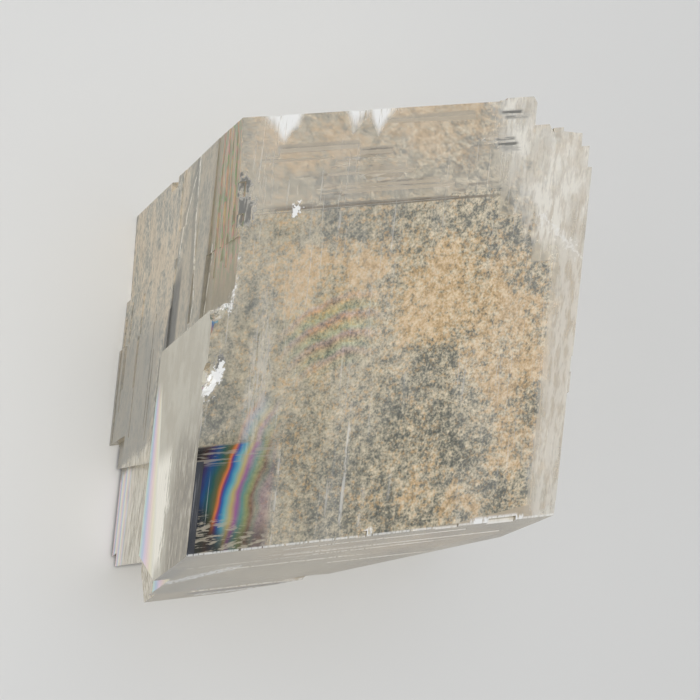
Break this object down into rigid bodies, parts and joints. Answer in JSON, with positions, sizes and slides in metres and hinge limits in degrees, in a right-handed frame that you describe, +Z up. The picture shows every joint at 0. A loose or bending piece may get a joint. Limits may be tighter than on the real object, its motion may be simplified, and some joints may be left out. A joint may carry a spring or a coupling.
{
  "type": "optical calcite crystal",
  "caption": "Hand-sized clear cleavage rhomb of calcite with stepped edges, lying flat on its stained back face.",
  "frame": {"origin": "centre of the crystal's box on the plane that it lies on", "axes": "+Z up from the stained back face to the clear front face; +X along the front face's longer edges, towards the right-hand face; +Y up the front face"},
  "size_m": [0.114, 0.0942, 0.066],
  "materials": {
    "calcite": "clear cleaved crystal, glossy front, silky sides, buff stain on the back"
  },
  "bodies": {
    "root": {"calcite_crystal": "calcite"}
  },
  "joints": []
}
